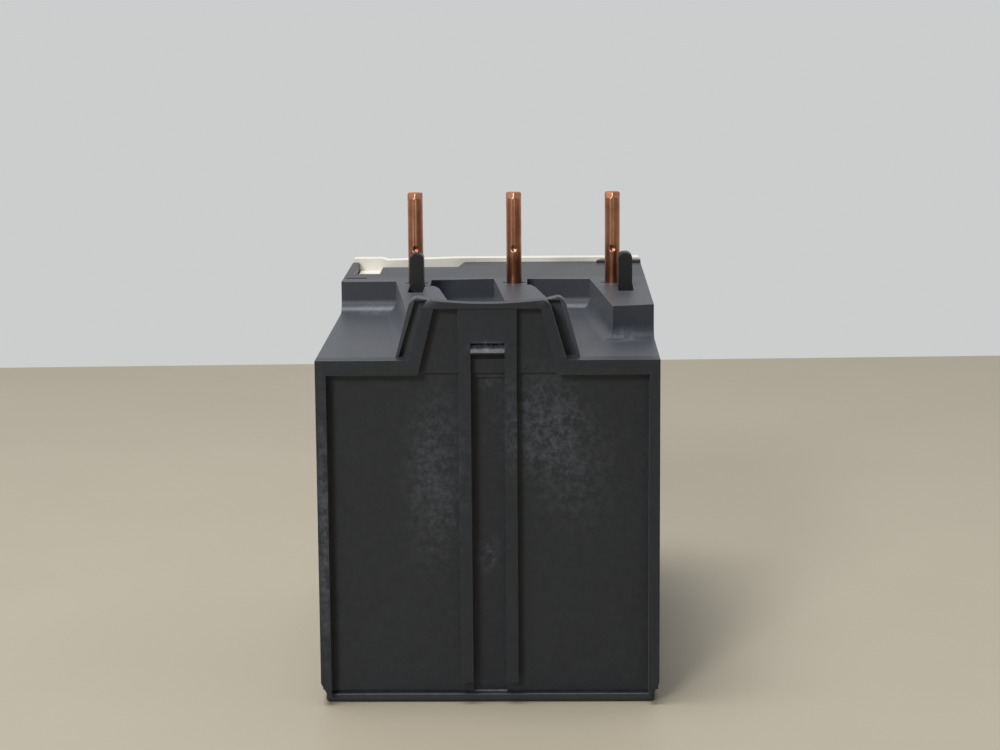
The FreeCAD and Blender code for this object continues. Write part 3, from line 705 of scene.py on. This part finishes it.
@dataclass
class Housing(Subassembly):
    """The mouldings: back cover, case, base strip, front housing and front plate."""

    edge_mm: float = 0.14
    cover_edge_mm: float = 0.2

    def build(self) -> None:
        """Dress the mouldings."""
        # The last number is the share of pale colour on the edges: edge wear and painted highlight.
        self.dress("rear_cover", Finish.BACK, self.cover_edge_mm, 1.0)
        self.dress("case", Finish.CASE, self.edge_mm, 0.7)
        self.dress("bottom_plate", Finish.FRONT, self.edge_mm, 0.2)
        self.dress("front_housing", Finish.FRONT, self.edge_mm, 0.35)
        self.dress("faceplate", Finish.IVORY, self.edge_mm)
        for side in ("left", "right"):
            self.dress(f"hook_{side}", Finish.BLACK, 0.16, 0.25)


@dataclass
class LinePins(Subassembly):
    """Three copper pins: round rod with a die crease, a coined dimple and two bevels at the tip."""

    radius: float = 1.1 * MM
    crease_mm: float = 0.06
    dimple_height: float = 56.2 * MM
    dimple_radius: float = 0.46 * MM
    dimple_depth: float = 0.24 * MM
    crease_width: float = 0.13 * MM
    crease_start: float = 0.3 * MM
    bevel_height: float = 0.95 * MM
    bevel_slope: float = 0.75
    bevel_turn: float = math.radians(34)
    bevel_ease: float = 0.02 * MM
    tip_chamfer: float = 0.12 * MM
    thinnest: float = 0.25 * MM
    plain_below_dimple: float = 1.2 * MM
    plain_steps: int = 24
    rounds: int = 64
    step: float = 0.11 * MM

    def build(self) -> None:
        """Make each pin and put it in place of its CAD node."""
        for number in (1, 2, 3):
            node = f"contact_pin_{number}"
            low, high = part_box(node)
            piece = self._pin(f"line_pin_{number}", (low + high) / 2, low.z, high.z)
            piece.data.materials.append(material_of(Finish.COPPER))
            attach(piece, "housing")
            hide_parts(node)
            LOG.info("made %s", piece.name)

    def _pin(self, name: str, centre: Vector, foot: float, tip: float) -> bpy.types.Object:
        """Build one pin.

        Args:
            name: The piece's name.
            centre: The pin's middle, for its place in plan.
            foot: Height of its lower end.
            tip: Height of its upper end.

        Returns:
            The pin.
        """
        mesh = bmesh.new()
        heights = [foot]
        plain_top = self.dimple_height - self.plain_below_dimple
        while heights[-1] < plain_top - self.step:
            heights.append(heights[-1] + (plain_top - foot) / self.plain_steps)
        while heights[-1] < tip - self.step / 2:
            heights.append(min(tip, heights[-1] + self.step))
        heights[-1] = tip
        rings = []
        for height in heights:
            ring = []
            for i in range(self.rounds):
                angle = 2 * math.pi * i / self.rounds
                reach = self._reach(angle, height, tip)
                x = centre.x + reach * math.sin(angle)
                y = centre.y + reach * math.cos(angle)
                ring.append(mesh.verts.new((x, y, height)))
            rings.append(ring)
        for lower, upper in zip(rings, rings[1:]):
            for i in range(self.rounds):
                j = (i + 1) % self.rounds
                mesh.faces.new((lower[i], lower[j], upper[j], upper[i]))
        mesh.faces.new(rings[0])
        mesh.faces.new(rings[-1])
        return mesh_object(name, mesh)

    def _reach(self, angle: float, height: float, tip: float) -> float:
        """Distance from the pin's axis to its skin.

        Args:
            angle: Direction round the pin; 0 is towards the relay's back.
            height: Height above the base.
            tip: Height of the pin's upper end.

        Returns:
            The distance.
        """
        turned = math.atan2(math.sin(angle), math.cos(angle))
        reach = self.radius
        across = turned * self.radius
        if height > self.dimple_height + self.crease_start:
            reach -= self.crease_mm * MM * math.exp(-((across / self.crease_width) ** 2))
        away = math.hypot(across, height - self.dimple_height)
        if away < 1.6 * self.dimple_radius:
            share = away / self.dimple_radius
            reach -= self.dimple_depth * max(0.0, 1 - share * share)
        for side in (-1, 1):
            facing = math.cos(turned - side * self.bevel_turn)
            if facing > 0.2:
                drop = self.bevel_height * self.bevel_slope
                plane = self.radius - drop + (tip - height) * self.bevel_slope + self.bevel_ease
                reach = min(reach, plane / facing)
        chamfer = self.radius - max(0.0, self.tip_chamfer - (tip - height))
        return max(self.thinnest, min(reach, chamfer))


@dataclass
class Terminals(Subassembly):
    """Clamps, screws and contact strips of the main and control terminals."""

    def build(self) -> None:
        """Dress every terminal piece."""
        for number in (1, 2, 3):
            self.dress(f"main_clamp_{number}", Finish.ZINC, 0.12)
            self.dress(f"main_screw_{number}", Finish.ZINC, 0.1)
            self.dress(f"terminal_bar_{number}", Finish.TINNED, 0.08)
        for number in (1, 2, 3, 4):
            self.dress(f"control_clamp_{number}", Finish.ZINC, 0.1)
            self.dress(f"control_screw_{number}", Finish.ZINC, 0.08)
            self.dress(f"control_plate_{number}", Finish.TINNED, 0.06)


@dataclass
class Mechanism(Subassembly):
    """The trip mechanism inside the housing."""

    def build(self) -> None:
        """Dress the bimetals, slides, levers and contacts."""
        for number in (1, 2, 3):
            self.dress(f"pole_strap_{number}", Finish.COPPER, 0.05)
            self.dress(f"bimetal_{number}", Finish.BIMETAL, 0.05)
            self.dress(f"heater_{number}", Finish.WINDING, 0.0)
        for node in ("trip_slide", "differential_lever", "trip_lever", "contact_carrier"):
            self.dress(node, Finish.BLACK, 0.08)
        self.dress("differential_slide", Finish.IVORY, 0.08)
        for node in ("bridge_no", "bridge_nc"):
            self.dress(node, Finish.TINNED, 0.04)
        self.dress("setting_lever", Finish.BIMETAL, 0.04)
        self.dress("trip_flag", Finish.ORANGE, 0.06)
        self.dress("pivot_pin", Finish.WIRE, 0.05)


@dataclass
class FrontControls(Subassembly):
    """Dial, buttons, selector and the hinged clear cover."""

    def build(self) -> None:
        """Dress the controls."""
        self.dress("current_dial", Finish.IVORY, 0.1)
        self.dress("reset_selector", Finish.IVORY, 0.08)
        self.dress("stop_button", Finish.RED, 0.12)
        self.dress("reset_button", Finish.BLUE, 0.12)
        self.dress("test_button", Finish.RED, 0.08)
        self.dress("window_cover", Finish.CLEAR, 0.06)
        for node in ("stop_spring", "reset_spring", "hinge_pin"):
            self.dress(node, Finish.WIRE, 0.0)


@dataclass
class DialScale(Subassembly):
    """The setting scale round the dial, and the pointer mark on the dial itself."""

    amperes: tuple[int, ...] = (12, 13, 14, 15, 16, 17, 18)
    first_angle: float = 270.0
    sweep: float = 250.0
    plate_face: float = -33.7 * MM
    dial_face: float = -33.8 * MM
    ink: float = 0.02 * MM
    tick_start: float = 5.3 * MM
    tick_end: float = 5.85 * MM
    tick_width: float = 0.16 * MM
    numeral_reach: float = 6.65 * MM
    numeral_size: float = 1.45 * MM
    between: int = 4
    minor_cut: float = 0.25 * MM
    pointer_mm: tuple[tuple[float, float], ...] = ((-0.55, -4.5), (0.55, -4.5), (0.0, -3.75))

    def build(self) -> None:
        """Print the scale on the front plate and the pointer on the dial."""
        low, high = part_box("current_dial")
        centre = (low + high) / 2
        scale = bmesh.new()
        steps = (len(self.amperes) - 1) * self.between
        for step in range(steps + 1):
            angle = math.radians(self.first_angle - self.sweep * step / steps)
            minor = step % self.between != 0
            end = self.tick_end - (self.minor_cut if minor else 0.0)
            self._tick(scale, centre, angle, end)
        for place, amperes in enumerate(self.amperes):
            angle = math.radians(self.first_angle - self.sweep * place / (len(self.amperes) - 1))
            reach = self.numeral_reach
            x = centre.x + reach * math.cos(angle)
            z = centre.z + reach * math.sin(angle)
            self._numeral(scale, str(amperes), Vector((x, self.plate_face, z)))
        self._finish("dial_scale", scale, "housing")
        pointer = bmesh.new()
        self._plate(pointer, list(self.pointer_mm), centre, self.dial_face)
        self._finish("dial_pointer", pointer, "dial")

    def _finish(self, name: str, mesh: bmesh.types.BMesh, body: str) -> None:
        """Turn a print into a piece that rides on a body.

        Args:
            name: The piece's name.
            mesh: Its mesh.
            body: The body it rides on.
        """
        piece = mesh_object(name, mesh, smooth=False)
        piece.data.materials.append(material_of(Finish.INK))
        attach(piece, body)
        LOG.info("printed %s", name)

    def _plate(
        self, mesh: bmesh.types.BMesh, outline_mm: list[tuple[float, float]], centre: Vector, face: float
    ) -> None:
        """Add one flat closed print.

        Args:
            mesh: Gets the print.
            outline_mm: Corners to the right of and above the centre.
            centre: The dial's middle.
            face: Place along Y of the surface under the ink.
        """
        rings = []
        for level in (face, face - self.ink):
            corners = [(centre.x + x * MM, level, centre.z + z * MM) for x, z in outline_mm]
            rings.append([mesh.verts.new(corner) for corner in corners])
        for i in range(len(outline_mm)):
            j = (i + 1) % len(outline_mm)
            mesh.faces.new((rings[0][i], rings[0][j], rings[1][j], rings[1][i]))
        for ring in rings:
            mesh.faces.new(ring)

    def _tick(self, mesh: bmesh.types.BMesh, centre: Vector, angle: float, end: float) -> None:
        """Add one line of the scale.

        Args:
            mesh: Gets the line.
            centre: The dial's middle.
            angle: Direction of the line from the middle, anticlockwise from the right.
            end: Distance of its outer end from the middle.
        """
        along = (math.cos(angle), math.sin(angle))
        half = self.tick_width / 2
        outline = []
        for reach, side in ((self.tick_start, -half), (end, -half), (end, half), (self.tick_start, half)):
            x = along[0] * reach - along[1] * side
            z = along[1] * reach + along[0] * side
            outline.append((x / MM, z / MM))
        self._plate(mesh, outline, centre, self.plate_face)

    def _numeral(self, mesh: bmesh.types.BMesh, text: str, spot: Vector) -> None:
        """Add a number, read from the front.

        Args:
            mesh: Gets the number.
            text: The number.
            spot: Its middle, on the surface under the ink.
        """
        letters = bpy.data.curves.new(f"numeral_{text}", "FONT")
        letters.body = text
        letters.size = self.numeral_size
        letters.align_x = "CENTER"
        letters.align_y = "CENTER"
        letters.extrude = self.ink / 2
        letters.resolution_u = 3
        holder = bpy.data.objects.new(letters.name, letters)
        bpy.context.scene.collection.objects.link(holder)
        shown = bpy.context.evaluated_depsgraph_get()
        drawn = bpy.data.meshes.new_from_object(holder.evaluated_get(shown))
        upright = Matrix.Rotation(math.pi / 2, 4, "X")
        drawn.transform(Matrix.Translation(spot - Vector((0.0, self.ink / 2, 0.0))) @ upright)
        mesh.from_mesh(drawn)
        bpy.data.objects.remove(holder)
        bpy.data.curves.remove(letters)
        bpy.data.meshes.remove(drawn)


# ---------------------------------------------------------------- stage


@dataclass
class Stage:
    """Plain table top, pale surroundings, soft lamps and the camera."""

    table_colour: str = "#A79E8C"
    wall_colour: str = "#CCCECE"
    table_half: float = 1.6
    table_far_left: float = -0.318
    table_far_right: float = -0.172
    room_dark: float = 0.22  # light from behind the camera, as a share of the wall's
    lamp_aim: tuple[float, float, float] = (0.0, 0.0, 0.03)
    camera_place: tuple[float, float, float] = (-0.0073, 0.3483, 0.0984)
    camera_aim: tuple[float, float, float] = (0.0178, -0.9855, -0.169)
    camera_roll: float = math.radians(-0.44)
    lens_mm: float = 88.0
    lamps: list[tuple[str, tuple[float, float, float], float, float]] = field(
        default_factory=lambda: [
            ("ceiling lamp", (0.10, 0.10, 0.62), 0.30, 3.2),
            ("window behind the camera", (0.34, 0.95, 0.50), 0.22, 6.0),
        ]
    )

    def build(self) -> None:
        """Make the table, the surroundings, the lamps and the camera."""
        self._table()
        self._surroundings()
        for name, place, size, power in self.lamps:
            self._lamp(name, Vector(place), size, power)
        self._camera()
        bpy.context.scene.view_settings.view_transform = "Standard"

    def _table(self) -> None:
        """A flat table whose far edge runs behind the relay."""
        mesh = bmesh.new()
        half = self.table_half
        corners = [(-half, self.table_far_left), (half, self.table_far_right), (half, half), (-half, half)]
        mesh.faces.new([mesh.verts.new((x, y, 0.0)) for x, y in corners])
        table = mesh_object("table", mesh, smooth=False)
        material, tree = new_material("plain laminate table")
        spot = millimetres(tree)
        cloud = add(tree, "ShaderNodeTexNoise", {"Scale": 0.02, "Detail": 5.0}, {"Vector": spot})
        shade = add(
            tree, "ShaderNodeMapRange", {"To Min": 0.94, "To Max": 1.06}, {"Value": cloud.outputs["Fac"]}
        )
        colour = add(
            tree,
            "ShaderNodeVectorMath",
            {"operation": "SCALE", 0: linear(self.table_colour)[:3]},
            {"Scale": shade.outputs["Result"]},
        )
        shader = add(
            tree, "ShaderNodeBsdfPrincipled", {"Roughness": 0.55}, {"Base Color": colour.outputs["Vector"]}
        )
        close(tree, shader)
        table.data.materials.append(material)

    def _surroundings(self) -> None:
        """Pale wall all round as seen; as light and in reflections it darkens away from the wall."""
        world = bpy.data.worlds.new("pale room")
        bpy.context.scene.world = world
        world.use_nodes = True
        tree = world.node_tree
        tree.nodes.clear()
        ray = add(tree, "ShaderNodeLightPath")
        compass = add(tree, "ShaderNodeTexCoord")
        side = add(tree, "ShaderNodeSeparateXYZ", None, {0: compass.outputs["Generated"]})
        room = add(
            tree,
            "ShaderNodeMapRange",
            {
                "interpolation_type": "SMOOTHSTEP",
                "From Min": -0.35,
                "From Max": 0.45,
                "To Min": 1.0,
                "To Max": self.room_dark,
            },
            {"Value": side.outputs["Y"]},
        )
        strength = add(
            tree,
            "ShaderNodeMath",
            {"operation": "MAXIMUM"},
            {0: room.outputs["Result"], 1: ray.outputs["Is Camera Ray"]},
        )
        glow = add(
            tree,
            "ShaderNodeBackground",
            {"Color": linear(self.wall_colour)},
            {"Strength": strength.outputs[0]},
        )
        add(tree, "ShaderNodeOutputWorld", None, {"Surface": glow.outputs[0]})

    def _lamp(self, name: str, place: Vector, size: float, power: float) -> None:
        """Hang a square soft lamp that faces the relay.

        Args:
            name: The lamp's name.
            place: Where it hangs.
            size: Length of its side.
            power: Its power in watts.
        """
        light = bpy.data.lights.new(name, "AREA")
        light.size = size
        light.energy = power
        lamp = bpy.data.objects.new(name, light)
        lamp.location = place
        lamp.rotation_euler = (Vector(self.lamp_aim) - place).to_track_quat("-Z", "Y").to_euler()
        bpy.context.scene.collection.objects.link(lamp)

    def _camera(self) -> None:
        """Set the camera at the back of the relay, a little above it."""
        lens = bpy.data.cameras.new("camera")
        lens.lens = self.lens_mm
        lens.sensor_width = 36.0
        lens.clip_start = 0.01
        camera = bpy.data.objects.new("camera", lens)
        aim = Vector(self.camera_aim).normalized()
        right = aim.cross(Vector((0.0, 0.0, 1.0))).normalized()
        up = right.cross(aim)
        turn = Matrix((right, up, -aim)).transposed().to_4x4()
        roll = Matrix.Rotation(self.camera_roll, 4, "Z")
        camera.matrix_world = Matrix.Translation(self.camera_place) @ turn @ roll
        bpy.context.scene.collection.objects.link(camera)
        bpy.context.scene.camera = camera


def main() -> None:
    """Load the frame, dress and build every piece, and set the stage."""
    logging.basicConfig(level=logging.INFO, format="%(name)s: %(message)s")
    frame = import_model()
    for part in (Housing, LinePins, Terminals, Mechanism, FrontControls, DialScale):
        part(frame["nodes"]).build()
    Stage().build()
    bpy.context.view_layer.update()


if __name__ == "__main__":
    main()
